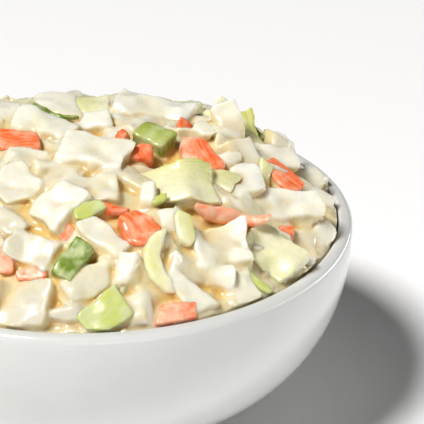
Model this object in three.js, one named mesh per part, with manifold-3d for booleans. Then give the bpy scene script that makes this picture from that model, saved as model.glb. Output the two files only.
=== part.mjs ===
// A small porcelain side bowl heaped with chopped coleslaw: cabbage, carrot and green pepper.
// Millimetres, +Z up. The origin is the centre of the foot ring's underside; the front faces -Y.
import * as THREE from "three";
import { mergeVertices } from "three/addons/utils/BufferGeometryUtils.js";
import Module from "manifold-3d";

const wasm = await Module();
wasm.setup();

// ---- driving dimensions: the bowl ----
const BOWL_RADIUS = 57.5;
const BOWL_HEIGHT = 44;
const WALL = 3.1; // wall thickness at the lip
const LIP_OUTER_ROUND = 1.5;
const LIP_INNER_ROUND = 0.8;
const WALL_ROUNDNESS = 2.1; // exponent of the quarter superellipse that the wall follows
const WALL_FOOT_RADIUS = 22; // where the outer wall's curve would meet the foot's top
const FOOT_HEIGHT = 3.7;
const FOOT_RADIUS = 25;
const FOOT_INNER_RADIUS = 21;
const FOOT_EDGE_ROUND = 0.7;
const RECESS_HEIGHT = 2.6; // underside of the floor inside the foot ring
const FLOOR_TOP = 6.8;
const FLOOR_RADIUS = 19;
const AROUND = 48; // facets round the bowl and the heap
const WALL_STEPS = 8;
const ROUND_STEPS = 2;

// ---- driving dimensions: the heap ----
const GAP = 0.3; // between the slaw and the porcelain
const HEAP_RADIUS = BOWL_RADIUS - WALL; // the heap starts level with the lip's inner edge
const HEAP_RISE = 21.5; // lip to the tops of the pieces
const HEAP_ROUNDNESS = 3; // the heap is flat on top and falls off to the rim
const BACK_DROP = 9; // how much lower the dome would stand at its back edge
const CORE_BELOW = 2.4; // how far the bare core lies under the tops of the pieces
const CORE_STEPS = 5;
const LIP_CLEARANCE = 0.4; // above the lip, for a piece that leans over it
const LEAN_OUT = 0.4; // how far a piece may reach over the lip's inner edge
const AIR_TOP = 90;

// ---- the pieces that top the heap ----
// Each row is a chopped piece: what it is, its cut, where its outer face's middle stands over
// the bowl (x, y) and above the heap's even surface (lift), which way that face looks (facing,
// slope from level), how it is turned in its own plane, and its length, width and thickness.
const PLACED = [
  // the back and the top
  ["cabbage", "slab", -6.5, 14, 0.8, -93, 16, 5, 11, 9, 4],
  ["pale", "slab", 1.5, 13.5, 0.7, -85, 17, 95, 8, 7.5, 3.5],
  ["cabbage", "slab", -8.5, 0.5, 0.9, -93, 16, 160, 16, 8.5, 4],
  ["cabbage", "slab", 1.5, 3, 0.1, -90, 18, 5, 6.5, 6, 4],
  ["cabbage", "slab", -18, 8, 0.3, -102, 15, 90, 10, 8, 4],
  ["cabbage", "slab", 14, 10.5, 0.8, -79, 15, 165, 18.5, 8, 4],
  ["cabbage", "chip", 25, 0.5, 1.2, -68, 18, 125, 5.5, 4.5, 4],
  ["cabbage", "wedge", 28.5, 19.5, 0.8, -90, 75, 75, 7, 5, 3],
  ["cabbage", "leaf", 31.5, 3.5, 0.5, -56, 29, 115, 15, 5, 2.5],
  ["pale", "leaf", 35, 10.5, 0.4, -47, 29, 125, 11, 5, 2.5],
  ["cabbage", "wedge", 30.5, -7.5, 0.8, -63, 32, 50, 6, 4, 3],
  ["cabbage", "slab", 40.5, 5, 0.7, -46, 25, 20, 15, 7, 4],
  ["cabbage", "slab", 48.5, 7.5, 0.3, -35, 31, 35, 10, 6, 4],
  // the middle
  ["cabbage", "slab", 1.5, -15, 1.5, -91, 19, 172, 18, 12.5, 7],
  ["cabbage", "chip", -13, -24.5, 0.9, -99, 23, 0, 11.5, 11, 4],
  ["cabbage", "slab", -13, -14.5, 0.3, -98, 21, 175, 10, 6, 4],
  ["cabbage", "slab", -4.5, -32, 1, -100, 29, 55, 13, 9, 4.5],
  ["cabbage", "slab", -15, -33.5, 0.3, -100, 31, 130, 8, 6, 4],
  ["cabbage", "chip", 34, -13.5, 0.9, -65, 27, 20, 10, 9.5, 5],
  ["cabbage", "slab", 43, -14.5, 1.3, -53, 28, 20, 16, 9.5, 5],
  ["cabbage", "wedge", 49.5, -16, 0, -55, 50, 60, 10, 6.5, 2.5],
  ["pale", "fold", 21, -22.5, 1, -78, 34, 10, 14.5, 10.5, 3],
  ["cabbage", "slab", 18, -32.5, 0.3, -77, 31, 15, 7, 6, 4],
  ["cabbage", "slab", 13, -27.5, 0.5, -81, 27, 85, 6.5, 4.5, 4],
  ["pale", "disc", 21.5, -34.5, 1.5, -75, 45, 115, 7.5, 5, 3],
  ["cabbage", "leaf", 29.5, -34, 0.9, -68, 40, 20, 12, 9.5, 4],
  ["cabbage", "leaf", 25, -40.5, 0.2, -73, 50, 0, 14, 6, 3],
  // the front, down to the rim
  ["cabbage", "slab", -9.5, -41, 0.6, -96, 33, 160, 12.5, 8, 4],
  ["cabbage", "slab", 5, -39, 0.9, -87, 32, 140, 12, 5.5, 4],
  ["cabbage", "slab", -11.5, -50, 0.6, -122, 48, 75, 13.5, 12, 9],
  ["cabbage", "chip", 1.5, -47, 0.3, -89, 37, 40, 12, 8.5, 4],
  ["cabbage", "chip", -2, -52.5, 0.3, -92, 41, 10, 8, 5.5, 4],
  ["cabbage", "slab", 11.5, -50.5, -0.8, -84, 48, 100, 8, 6, 4],
  ["cabbage", "slab", 8.5, -45.5, 0.9, -110, 44, 75, 8, 6.5, 6],
  ["cabbage", "chip", 46.5, -26, 0.3, -55, 37, 20, 7.5, 7, 4],
  ["cabbage", "slab", 33.5, -40.5, 0.5, -68, 39, 40, 9, 7, 4],
  ["pale", "leaf", 40, -29.5, 0.6, -61, 44, 150, 11.5, 10.5, 3],
  ["cabbage", "slab", 22.5, -45.5, 0.9, -80, 41, 145, 13.5, 7, 6],
  ["pale", "rib", 15.5, -42.5, 0.4, -79, 50, 105, 14, 3.5, 3.5],
  // carrot
  ["carrot", "slab", -14, -9, 1.2, -98, 21, 0, 9, 6, 5],
  ["carrot", "chip", 7.5, -7, 0.6, -87, 19, 85, 4.5, 3.5, 3],
  ["carrot", "wedge", 12, -12.5, 0.4, -83, 29, 95, 5, 4, 4],
  ["coated", "slab", 22.5, -8.5, 0.5, -73, 21, 95, 7, 6, 5],
  ["carrot", "slab", 25.5, -10.5, 0.7, -70, 23, 115, 9, 5, 5],
  ["carrot", "slab", 42, -4.5, 0.6, -49, 29, 145, 10, 5.5, 5],
  ["carrot", "chip", 12, -37, 1.2, -82, 33, 135, 10.5, 8, 4],
  ["carrot", "slab", 6.5, -32, 0.5, -85, 29, 0, 7, 2, 2],
  ["coated", "leaf", 31, -27.5, 1.4, -66, 42, 2, 17, 2.2, 1.8],
  ["coated", "slab", -15, -41.5, 0.6, -100, 36, 90, 6, 4, 4],
  ["coated", "slab", -9.5, -45, 0.5, -96, 37, 5, 7.5, 3, 3],
  ["coated", "slab", 20, -49.5, 0.7, -78, 41, 12, 11.5, 6, 5],
  // green pepper and dark leaf
  ["green", "slab", 14.5, -5.5, 1.2, -82, 20, 150, 9, 6, 5],
  ["green", "slab", -1, -44.2, 1.5, -91, 42, 62, 10, 5.2, 4],
  ["bright", "slab", 5, -52, 0.6, -87, 46, 42, 11, 7.5, 4],
  ["bright", "chip", 1.5, -33, 0.6, -89, 30, 35, 7, 4.5, 2.5],
  ["bright", "chip", 16, -29, 0.8, -79, 29, 35, 4, 2, 2],
  ["green", "slab", 35.5, 18, 0.6, -37, 21, 140, 9, 3, 2],
  ["bright", "slab", 37, -37.5, 0.7, -65, 38, 150, 7.5, 2.2, 2],
  ["green", "leaf", -7, 7, 0.3, -93, 24, 160, 11, 1.2, 1.5],
];

// ---- the pieces that fill the rest of the heap, by rule ----
const FILL_COUNT = 160;
const FILL_REACH = 52.5;
const FILL_SPREAD = 0.45; // below a half, so the steep shoulder gets its share
const FILL_CLEARANCE = 4.5; // a fill piece nearer than this to a placed one is left out
const FILL_SINK = 0.8; // how much lower than the placed ones a fill piece lies
const FILL_SINK_CROWDED = 1.4; // and the same with a placed piece close by
const FILL_CROWDED_WITHIN = 12;
const RIM_FROM = 45; // from this radius out, pieces are raised to meet the lip
const RIM_SINK = -0.5;
const RIM_CROWDED_WITHIN = 8;
const LIE_FLAT = 0.75; // fill pieces lie flatter than the heap slopes, like shingles
const FILL_TILT = 40; // the whole range of random tilt, degrees
const FILL_LIFT = 1.2;
const CARROT_SHARE = 0.13;
const GREEN_SHARE = 0.1;
const PALE_SHARE = 0.14;
const FILL_SIZES = {
  cabbage: { long: [8, 15], wide: [5, 9], thick: [3, 4.5] },
  pale: { long: [8, 13], wide: [5, 9], thick: [2.5, 3.5] },
  carrot: { long: [6, 10], wide: [3.5, 5.5], thick: [3, 4.5] },
  green: { long: [6, 9], wide: [3.5, 5], thick: [2.5, 3.5] },
};
const HARD_CUTS = ["slab", "chip", "wedge"];
const SOFT_CUTS = ["slab", "chip", "wedge", "leaf", "cup", "rib", "fold"];
const GOLDEN_ANGLE = Math.PI * (3 - Math.sqrt(5));

// ---- cuts: corners as shares of half the length and half the width ----
const CORNERS = {
  slab: [[-1, -0.9], [0.92, -1], [1, 0.85], [-0.88, 1]],
  wedge: [[-1, -0.95], [0.75, -1], [1, 0.1], [-0.8, 1]],
  chip: [[-1, -0.35], [-0.3, -1], [0.8, -0.8], [1, 0.3], [0.1, 1], [-0.8, 0.75]],
};
const CORNER_JITTER = 0.3;
const TOP_TAPER = 0.9; // the outer face is a little smaller than the inner
const SHEET_SEGMENTS = { leaf: 3, rib: 3, fold: 2 };
const ROUND_SEGMENTS = 8;
const LEAF_BEND = 0.16; // these are shares of the piece's length: rise of a leaf's ends,
const LEAF_WAVE = 0.05; // its sideways wave,
const CUP_DEPTH = 0.14; // rise of a cupped piece's rim over its middle,
const FOLD_DEPTH = 0.2; // height of a folded piece's crease,
const FOLD_SOFTNESS = 0.1; // how softly that crease turns,
const RIB_SWEEP = 0.22; // and sideways sweep of a rib
const BOW_LEVEL = { leaf: 0.5, cup: 0.6, fold: 0.4, rib: 0.5 }; // where a bow crosses its plane

const SLIVER = 0.1; // mm: facets finer than this are merged after joining

const degrees = THREE.MathUtils.degToRad;
const lerp = THREE.MathUtils.lerp;

// A small seeded generator, one stream for each piece.
function chanceFor(index) {
  let state = ((index + 1) * 2654435761) % 4294967296;
  return () => {
    state = (state * 1664525 + 1013904223) % 4294967296;
    return state / 4294967296;
  };
}

// ---- joining ----
function solidFrom(geometry) {
  geometry.deleteAttribute("normal");
  geometry.deleteAttribute("uv");
  const merged = mergeVertices(geometry, 1e-4);
  const corners = Array.from(merged.index.array);
  const kept = [];
  for (let i = 0; i < corners.length; i += 3) {
    const [a, b, c] = corners.slice(i, i + 3);
    if (a !== b && b !== c && a !== c) kept.push(a, b, c);
  }
  return new wasm.Manifold(
    new wasm.Mesh({
      numProp: 3,
      vertProperties: merged.attributes.position.array,
      triVerts: new Uint32Array(kept),
    }),
  );
}

function meshFrom(solid, name, material) {
  const made = solid.getMesh();
  const geometry = new THREE.BufferGeometry();
  const position = new THREE.BufferAttribute(made.vertProperties, 3);
  geometry.setAttribute("position", position);
  geometry.setIndex(new THREE.BufferAttribute(made.triVerts, 1));
  geometry.computeVertexNormals();
  const mesh = new THREE.Mesh(geometry, material);
  mesh.name = name;
  return mesh;
}

// A closed body of revolution about +Z from [radius, height] pairs, inner foot to outer top.
function revolved(profile) {
  const points = profile.map(([r, z]) => new THREE.Vector2(r, z));
  const lathe = new THREE.LatheGeometry(points, AROUND);
  return solidFrom(lathe.rotateX(Math.PI / 2));
}

// ---- the bowl ----
function quarterWall(foot, top, drop, start) {
  const side = [];
  for (let i = 0; i <= WALL_STEPS; i++) {
    const angle = (Math.PI / 2) * (i / WALL_STEPS);
    const power = 2 / WALL_ROUNDNESS;
    const r = foot + (top - foot) * Math.cos(angle) ** power;
    side.push([r, start - drop * Math.sin(angle) ** power]);
  }
  return side;
}

function quarterRound(centreR, centreZ, radius, from, to) {
  const arc = [];
  for (let i = 0; i <= ROUND_STEPS; i++) {
    const angle = degrees(lerp(from, to, i / ROUND_STEPS));
    arc.push([centreR + radius * Math.cos(angle), centreZ + radius * Math.sin(angle)]);
  }
  return arc;
}

// The hollow's side from the lip down to the axis, moved into the hollow by a gap.
function hollowSide(gap) {
  const start = BOWL_HEIGHT - LIP_INNER_ROUND;
  const wall = quarterWall(FLOOR_RADIUS, HEAP_RADIUS, start - FLOOR_TOP, start);
  const moved = wall.map(([r, z], i) => [r - gap, i === 0 ? z : z + gap]);
  return [...moved, [0, FLOOR_TOP + gap]];
}

function bowlSolid() {
  const wallStart = BOWL_HEIGHT - LIP_OUTER_ROUND;
  const outer = quarterWall(WALL_FOOT_RADIUS, BOWL_RADIUS, wallStart - FOOT_HEIGHT, wallStart)
    .filter(([r]) => r > FOOT_RADIUS + FOOT_EDGE_ROUND)
    .reverse();
  const round = FOOT_EDGE_ROUND;
  const profile = [
    [0, RECESS_HEIGHT],
    [FOOT_INNER_RADIUS - round, RECESS_HEIGHT],
    [FOOT_INNER_RADIUS, round],
    [FOOT_INNER_RADIUS + round, 0],
    [FOOT_RADIUS - 2 * round, 0],
    [FOOT_RADIUS - round, round],
    [FOOT_RADIUS, FOOT_HEIGHT],
    ...outer,
    ...quarterRound(BOWL_RADIUS - LIP_OUTER_ROUND, wallStart, LIP_OUTER_ROUND, 0, 90).slice(1),
    ...quarterRound(
      HEAP_RADIUS + LIP_INNER_ROUND,
      BOWL_HEIGHT - LIP_INNER_ROUND,
      LIP_INNER_ROUND,
      90,
      180,
    ),
    ...hollowSide(0).slice(1),
  ];
  return revolved(profile);
}

// ---- the heap ----
// A dome that falls away sooner at the back, where y is positive.
function heapHeight(x, y) {
  const share = Math.min(Math.hypot(x, y) / HEAP_RADIUS, 1);
  const rise = HEAP_RISE - BACK_DROP * (Math.max(y, 0) / HEAP_RADIUS) ** 2;
  return BOWL_HEIGHT + rise * (1 - share ** HEAP_ROUNDNESS);
}

function heapSlope(radius) {
  const share = Math.min(radius / HEAP_RADIUS, 1);
  const fall = (HEAP_ROUNDNESS * HEAP_RISE * share ** (HEAP_ROUNDNESS - 1)) / HEAP_RADIUS;
  return THREE.MathUtils.radToDeg(Math.atan(fall));
}

// The bare core: fills the hollow, and its top follows the heap's surface a little below it.
function coreSolid() {
  const edge = BOWL_HEIGHT - LIP_INNER_ROUND;
  const side = hollowSide(GAP).slice(1).reverse();
  const top = [];
  for (let i = CORE_STEPS; i >= 0; i--) {
    top.push([(HEAP_RADIUS - GAP) * Math.sqrt(i / CORE_STEPS), edge]);
  }
  const points = [...side, ...top].map(([r, z]) => new THREE.Vector2(r, z));
  const body = new THREE.LatheGeometry(points, AROUND).rotateX(Math.PI / 2);
  const place = body.attributes.position;
  for (let i = 0; i < place.count; i++) {
    const height = heapHeight(place.getX(i), place.getY(i)) - CORE_BELOW;
    if (place.getZ(i) > edge - SLIVER) place.setZ(i, Math.max(height, edge));
  }
  return solidFrom(body);
}

// The air that the slaw may fill: the hollow less the gap, and the space above the lip.
function airSolid() {
  const side = hollowSide(GAP).reverse();
  const overLip = BOWL_HEIGHT + LIP_CLEARANCE;
  return revolved([
    ...side,
    [HEAP_RADIUS - GAP, overLip],
    [HEAP_RADIUS + LEAN_OUT, overLip],
    [HEAP_RADIUS + LEAN_OUT, AIR_TOP],
    [0, AIR_TOP],
  ]);
}

// A straight-sided piece, its outer face at z = 0 and its body below.
function choppedPiece(piece, chance) {
  const outline = new THREE.Shape(
    CORNERS[piece.cut].map(([along, across]) => {
      const u = (along + CORNER_JITTER * (chance() - 0.5)) * (piece.long / 2);
      const v = (across + CORNER_JITTER * (chance() - 0.5)) * (piece.wide / 2);
      return new THREE.Vector2(u, v);
    }),
  );
  const depth = piece.thick;
  const body = new THREE.ExtrudeGeometry(outline, { depth, bevelEnabled: false });
  const place = body.attributes.position;
  for (let i = 0; i < place.count; i++) {
    const taper = place.getZ(i) > depth / 2 ? TOP_TAPER : 1;
    place.setXYZ(i, place.getX(i) * taper, place.getY(i) * taper, place.getZ(i) - depth);
  }
  return body;
}

// How far a soft piece's middle stands off its flat plane; along and across run from -1 to 1.
function pieceBow(piece, along, across, phase) {
  const level = BOW_LEVEL[piece.cut];
  if (piece.cut === "leaf") {
    const wave = LEAF_WAVE * across * Math.sin(2 * along + phase);
    return piece.long * (LEAF_BEND * (along ** 2 - level) + wave);
  }
  if (piece.cut === "cup") return CUP_DEPTH * piece.long * (along ** 2 + across ** 2 - level);
  if (piece.cut === "fold") {
    return FOLD_DEPTH * piece.long * (level - Math.hypot(along, FOLD_SOFTNESS));
  }
  return 0;
}

// A wavy leaf, a folded leaf or a curved rib: a strip with both faces split alike.
function sheetPiece(piece, chance) {
  const { cut, long, wide, thick } = piece;
  const body = new THREE.BoxGeometry(long, wide, thick, SHEET_SEGMENTS[cut], 1, 1);
  const phase = 2 * Math.PI * chance();
  const place = body.attributes.position;
  for (let i = 0; i < place.count; i++) {
    const along = place.getX(i) / (long / 2);
    const across = place.getY(i) / (wide / 2);
    const sweep = cut === "rib" ? RIB_SWEEP * long * (along ** 2 - BOW_LEVEL.rib) : 0;
    place.setY(i, place.getY(i) - sweep);
    place.setZ(i, place.getZ(i) - thick / 2 + pieceBow(piece, along, across, phase));
  }
  return body;
}

// A cupped leaf or a flat disc with an oval outline.
function roundPiece(piece) {
  const { long, wide, thick } = piece;
  const body = new THREE.CylinderGeometry(1, 1, thick, ROUND_SEGMENTS).rotateX(Math.PI / 2);
  const place = body.attributes.position;
  for (let i = 0; i < place.count; i++) {
    const along = place.getX(i);
    const across = place.getY(i);
    const height = place.getZ(i) - thick / 2 + pieceBow(piece, along, across, 0);
    place.setXYZ(i, along * (long / 2), across * (wide / 2), height);
  }
  return body;
}

function cutPiece(piece, chance) {
  if (piece.cut in SHEET_SEGMENTS) return sheetPiece(piece, chance);
  return piece.cut in CORNERS ? choppedPiece(piece, chance) : roundPiece(piece);
}

// Turned in its plane, tipped by its slope and swung to its facing, then set on the heap.
function placedSolid(piece, chance) {
  const body = cutPiece(piece, chance);
  const height = heapHeight(piece.x, piece.y) + piece.lift;
  body.rotateZ(degrees(piece.turn - piece.facing));
  body.rotateY(degrees(piece.slope));
  body.rotateZ(degrees(piece.facing));
  body.translate(piece.x, piece.y, height);
  return solidFrom(body);
}

function placedPieces() {
  return PLACED.map(([kind, cut, x, y, lift, facing, slope, turn, long, wide, thick]) => {
    return { kind, cut, x, y, lift, facing, slope, turn, long, wide, thick };
  });
}

function kindFrom(draw) {
  if (draw < CARROT_SHARE) return "carrot";
  if (draw < CARROT_SHARE + GREEN_SHARE) return "green";
  if (draw < CARROT_SHARE + GREEN_SHARE + PALE_SHARE) return "pale";
  return "cabbage";
}

function fillSink(radius, nearest) {
  if (radius > RIM_FROM) return nearest < RIM_CROWDED_WITHIN ? FILL_SINK_CROWDED : RIM_SINK;
  return nearest < FILL_CROWDED_WITHIN ? FILL_SINK_CROWDED : FILL_SINK;
}

// One fill piece on a golden-angle spiral, or nothing where a placed piece already lies.
function fillPiece(index, chance, placed) {
  const share = (index + 0.5) / FILL_COUNT;
  const radius = FILL_REACH * share ** FILL_SPREAD;
  const angle = index * GOLDEN_ANGLE;
  const x = radius * Math.cos(angle);
  const y = radius * Math.sin(angle);
  const nearest = Math.min(...placed.map((other) => Math.hypot(other.x - x, other.y - y)));
  const kind = kindFrom(chance());
  const sizes = FILL_SIZES[kind];
  const cuts = kind === "cabbage" || kind === "pale" ? SOFT_CUTS : HARD_CUTS;
  return {
    kind,
    cut: cuts[Math.floor(chance() * cuts.length)],
    x,
    y,
    lift: FILL_LIFT * (chance() - 0.5) - fillSink(radius, nearest),
    facing: THREE.MathUtils.radToDeg(angle) + FILL_TILT * 2 * (chance() - 0.5),
    slope: LIE_FLAT * heapSlope(radius) + FILL_TILT * (chance() - 0.5),
    turn: 360 * chance(),
    long: lerp(...sizes.long, chance()),
    wide: lerp(...sizes.wide, chance()),
    thick: lerp(...sizes.thick, chance()),
    skipped: nearest < FILL_CLEARANCE,
  };
}

function heapSolid() {
  const placed = placedPieces();
  let heap = coreSolid();
  placed.forEach((piece, i) => {
    heap = heap.add(placedSolid(piece, chanceFor(i)));
  });
  for (let i = 0; i < FILL_COUNT; i++) {
    const chance = chanceFor(placed.length + i);
    const piece = fillPiece(i, chance, placed);
    if (!piece.skipped) heap = heap.add(placedSolid(piece, chance));
  }
  const fitted = heap.intersect(airSolid()).simplify(SLIVER);
  const bodies = fitted.decompose();
  return bodies.reduce((best, body) => (body.volume() > best.volume() ? body : best));
}

const porcelain = new THREE.MeshStandardMaterial({
  color: "#f1f1ef",
  roughness: 0.12,
  metalness: 0,
});
const dressedSlaw = new THREE.MeshStandardMaterial({
  color: "#efe7cd",
  roughness: 0.35,
  metalness: 0,
});

const group = new THREE.Group();
group.add(meshFrom(bowlSolid(), "bowl", porcelain));
group.add(meshFrom(heapSolid(), "coleslaw", dressedSlaw));

export default group;
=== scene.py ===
"""Looks for the coleslaw part: a glazed porcelain side bowl heaped with dressed chopped slaw.

The bowl is a fine body of revolution. The slaw is four meshes, one for each kind of thing in it
(white cabbage in its dressing, pale leaf, carrot, green pepper). Each is the skin of a distance
field in which every chopped piece is a bent, bevelled plate at its own place on the heap.
Lengths are in millimetres, and MM turns them into metres where a mesh is made. Only the floor,
the lights and how far the camera shows are given in metres.
"""
import math

import bmesh
import bpy
import numpy as np
from mathutils import Matrix, Vector


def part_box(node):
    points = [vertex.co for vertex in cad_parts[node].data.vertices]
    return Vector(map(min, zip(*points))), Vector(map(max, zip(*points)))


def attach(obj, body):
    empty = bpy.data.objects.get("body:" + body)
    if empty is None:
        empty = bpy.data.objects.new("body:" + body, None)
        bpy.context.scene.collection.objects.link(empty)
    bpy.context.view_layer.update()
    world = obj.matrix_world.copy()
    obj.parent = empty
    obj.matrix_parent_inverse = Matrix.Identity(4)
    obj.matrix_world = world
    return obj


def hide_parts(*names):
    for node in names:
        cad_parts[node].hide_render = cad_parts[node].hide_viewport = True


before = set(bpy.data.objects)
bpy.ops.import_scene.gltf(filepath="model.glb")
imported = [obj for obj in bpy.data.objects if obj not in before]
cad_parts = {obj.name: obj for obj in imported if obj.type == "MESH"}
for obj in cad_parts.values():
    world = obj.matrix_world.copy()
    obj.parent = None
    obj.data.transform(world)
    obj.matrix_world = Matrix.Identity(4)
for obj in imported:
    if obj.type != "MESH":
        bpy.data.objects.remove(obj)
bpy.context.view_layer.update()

MM = 0.001
BOWL_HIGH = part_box("bowl")[1]
BOWL_RADIUS = BOWL_HIGH.x / MM
LIP = BOWL_HIGH.z / MM

# ---- bowl ----
WALL = 3.1
LIP_OUTER_ROUND = 1.5
LIP_INNER_ROUND = 0.8
WALL_ROUNDNESS = 2.1
WALL_FOOT_RADIUS = 22
FOOT_HEIGHT = 3.7
FOOT_RADIUS = 25
FOOT_INNER_RADIUS = 21
FOOT_EDGE_ROUND = 0.7
RECESS_HEIGHT = 2.6
FLOOR_TOP = 6.8
FLOOR_RADIUS = 19
BOWL_AROUND = 192
BOWL_WALL_STEPS = 40
BOWL_ROUND_STEPS = 8

# ---- heap ----
GAP = 0.3
HEAP_RADIUS = BOWL_RADIUS - WALL
HEAP_RISE = 21.5
HEAP_ROUNDNESS = 3
BACK_DROP = 9
CORE_BELOW = 4.8
CORE_BELOW_RIM = 0.2
CORE_RIM_FROM = 47
LIP_CLEARANCE = 0.4
LEAN_OUT = 0.4

# ---- the pieces that top the heap: kind, cut, x, y, lift, facing, slope, turn, length, width,
# thickness. x and y place the middle of a piece's outer face over the bowl, lift raises it above
# the heap's even surface, facing and slope say which way the face looks (slope is from level),
# and turn spins the piece in its own plane. ----
PLACED = [
    # the back and the top
    ("cabbage", "slab", -6.5, 14, 0.8, -93, 16, 5, 11, 9, 4),
    ("pale", "slab", 1.5, 13.5, 0.7, -85, 17, 95, 8, 7.5, 3.5),
    ("cabbage", "slab", -8.5, 0.5, 0.9, -93, 16, 160, 16, 8.5, 4),
    ("cabbage", "slab", 1.5, 3, 0.1, -90, 18, 5, 6.5, 6, 4),
    ("cabbage", "slab", -18, 8, 0.3, -102, 15, 90, 10, 8, 4),
    ("cabbage", "slab", 14, 10.5, 0.8, -79, 15, 165, 18.5, 8, 4),
    ("cabbage", "chip", 25, 0.5, 1.2, -68, 18, 125, 5.5, 4.5, 4),
    ("cabbage", "wedge", 28.5, 19.5, 0.8, -90, 75, 75, 7, 5, 3),
    ("cabbage", "leaf", 31.5, 3.5, 0.5, -56, 29, 115, 15, 5, 2.5),
    ("pale", "leaf", 35, 10.5, 0.4, -47, 29, 125, 11, 5, 2.5),
    ("cabbage", "wedge", 30.5, -7.5, 0.8, -63, 32, 50, 6, 4, 3),
    ("cabbage", "slab", 40.5, 5, 0.7, -46, 25, 20, 15, 7, 4),
    ("cabbage", "slab", 48.5, 7.5, 0.3, -35, 31, 35, 10, 6, 4),
    # the middle
    ("cabbage", "slab", 1.5, -15, 1.5, -91, 19, 172, 18, 12.5, 7),
    ("cabbage", "chip", -13, -24.5, 0.9, -99, 23, 0, 11.5, 11, 4),
    ("cabbage", "slab", -13, -14.5, 0.3, -98, 21, 175, 10, 6, 4),
    ("cabbage", "slab", -4.5, -32, 1, -100, 29, 55, 13, 9, 4.5),
    ("cabbage", "slab", -15, -33.5, 0.3, -100, 31, 130, 8, 6, 4),
    ("cabbage", "chip", 34, -13.5, 0.9, -65, 27, 20, 10, 9.5, 5),
    ("cabbage", "slab", 43, -14.5, 1.3, -53, 28, 20, 16, 9.5, 5),
    ("cabbage", "wedge", 49.5, -16, 0, -55, 50, 60, 10, 6.5, 2.5),
    ("pale", "fold", 21, -22.5, 1, -78, 34, 10, 14.5, 10.5, 3),
    ("cabbage", "slab", 18, -32.5, 0.3, -77, 31, 15, 7, 6, 4),
    ("cabbage", "slab", 13, -27.5, 0.5, -81, 27, 85, 6.5, 4.5, 4),
    ("pale", "disc", 21.5, -34.5, 1.5, -75, 45, 115, 7.5, 5, 3),
    ("cabbage", "leaf", 29.5, -34, 0.9, -68, 40, 20, 12, 9.5, 4),
    ("cabbage", "leaf", 25, -40.5, 0.2, -73, 50, 0, 14, 6, 3),
    # the front, down to the rim
    ("cabbage", "slab", -9.5, -41, 0.6, -96, 33, 160, 12.5, 8, 4),
    ("cabbage", "slab", 5, -39, 0.9, -87, 32, 140, 12, 5.5, 4),
    ("cabbage", "slab", -11.5, -50, 0.6, -122, 48, 75, 13.5, 12, 9),
    ("cabbage", "chip", 1.5, -47, 0.3, -89, 37, 40, 12, 8.5, 4),
    ("cabbage", "chip", -2, -52.5, 0.3, -92, 41, 10, 8, 5.5, 4),
    ("cabbage", "slab", 11.5, -50.5, -0.8, -84, 48, 100, 8, 6, 4),
    ("cabbage", "slab", 8.5, -45.5, 0.9, -110, 44, 75, 8, 6.5, 6),
    ("cabbage", "chip", 46.5, -26, 0.3, -55, 37, 20, 7.5, 7, 4),
    ("cabbage", "slab", 33.5, -40.5, 0.5, -68, 39, 40, 9, 7, 4),
    ("pale", "leaf", 40, -29.5, 0.6, -61, 44, 150, 11.5, 10.5, 3),
    ("cabbage", "slab", 22.5, -45.5, 0.9, -80, 41, 145, 13.5, 7, 6),
    ("pale", "rib", 15.5, -42.5, 0.4, -79, 50, 105, 14, 3.5, 3.5),
    # carrot
    ("carrot", "slab", -14, -9, 1.2, -98, 21, 0, 9, 6, 5),
    ("carrot", "chip", 7.5, -7, 0.6, -87, 19, 85, 4.5, 3.5, 3),
    ("carrot", "wedge", 12, -12.5, 0.4, -83, 29, 95, 5, 4, 4),
    ("coated", "slab", 22.5, -8.5, 0.5, -73, 21, 95, 7, 6, 5),
    ("carrot", "slab", 25.5, -10.5, 0.7, -70, 23, 115, 9, 5, 5),
    ("carrot", "slab", 42, -4.5, 0.6, -49, 29, 145, 10, 5.5, 5),
    ("carrot", "chip", 12, -37, 1.2, -82, 33, 135, 10.5, 8, 4),
    ("carrot", "slab", 6.5, -32, 0.5, -85, 29, 0, 7, 2, 2),
    ("coated", "leaf", 31, -27.5, 1.4, -66, 42, 2, 17, 2.2, 1.8),
    ("coated", "slab", -15, -41.5, 0.6, -100, 36, 90, 6, 4, 4),
    ("coated", "slab", -9.5, -45, 0.5, -96, 37, 5, 7.5, 3, 3),
    ("coated", "slab", 20, -49.5, 0.7, -78, 41, 12, 11.5, 6, 5),
    # green pepper and dark leaf
    ("green", "slab", 14.5, -5.5, 1.2, -82, 20, 150, 9, 6, 5),
    ("green", "slab", -1, -44.2, 1.5, -91, 42, 62, 10, 5.2, 4),
    ("bright", "slab", 5, -52, 0.6, -87, 46, 42, 11, 7.5, 4),
    ("bright", "chip", 1.5, -33, 0.6, -89, 30, 35, 7, 4.5, 2.5),
    ("bright", "chip", 16, -29, 0.8, -79, 29, 35, 4, 2, 2),
    ("green", "slab", 35.5, 18, 0.6, -37, 21, 140, 9, 3, 2),
    ("bright", "slab", 37, -37.5, 0.7, -65, 38, 150, 7.5, 2.2, 2),
    ("green", "leaf", -7, 7, 0.3, -93, 24, 160, 11, 1.2, 1.5),
]

# ---- the pieces that fill the rest of the heap, by rule ----
FILL_COUNT = 160
FILL_REACH = 52.5
FILL_SPREAD = 0.45
FILL_CLEARANCE = 4.5
FILL_SINK = 0.8
FILL_SINK_CROWDED = 1.4
FILL_CROWDED_WITHIN = 12
RIM_FROM = 45
RIM_SINK = -0.5
RIM_CROWDED_WITHIN = 8
LIE_FLAT = 0.75  # fill pieces lie flatter than the heap slopes, like shingles
FILL_TILT = 40
FILL_LIFT = 1.2
CARROT_SHARE = 0.13
GREEN_SHARE = 0.1
PALE_SHARE = 0.14
FILL_SIZES = {
    "cabbage": {"long": (8, 15), "wide": (5, 9), "thick": (3, 4.5)},
    "pale": {"long": (8, 13), "wide": (5, 9), "thick": (2.5, 3.5)},
    "carrot": {"long": (6, 10), "wide": (3.5, 5.5), "thick": (3, 4.5)},
    "green": {"long": (6, 9), "wide": (3.5, 5), "thick": (2.5, 3.5)},
}
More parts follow.
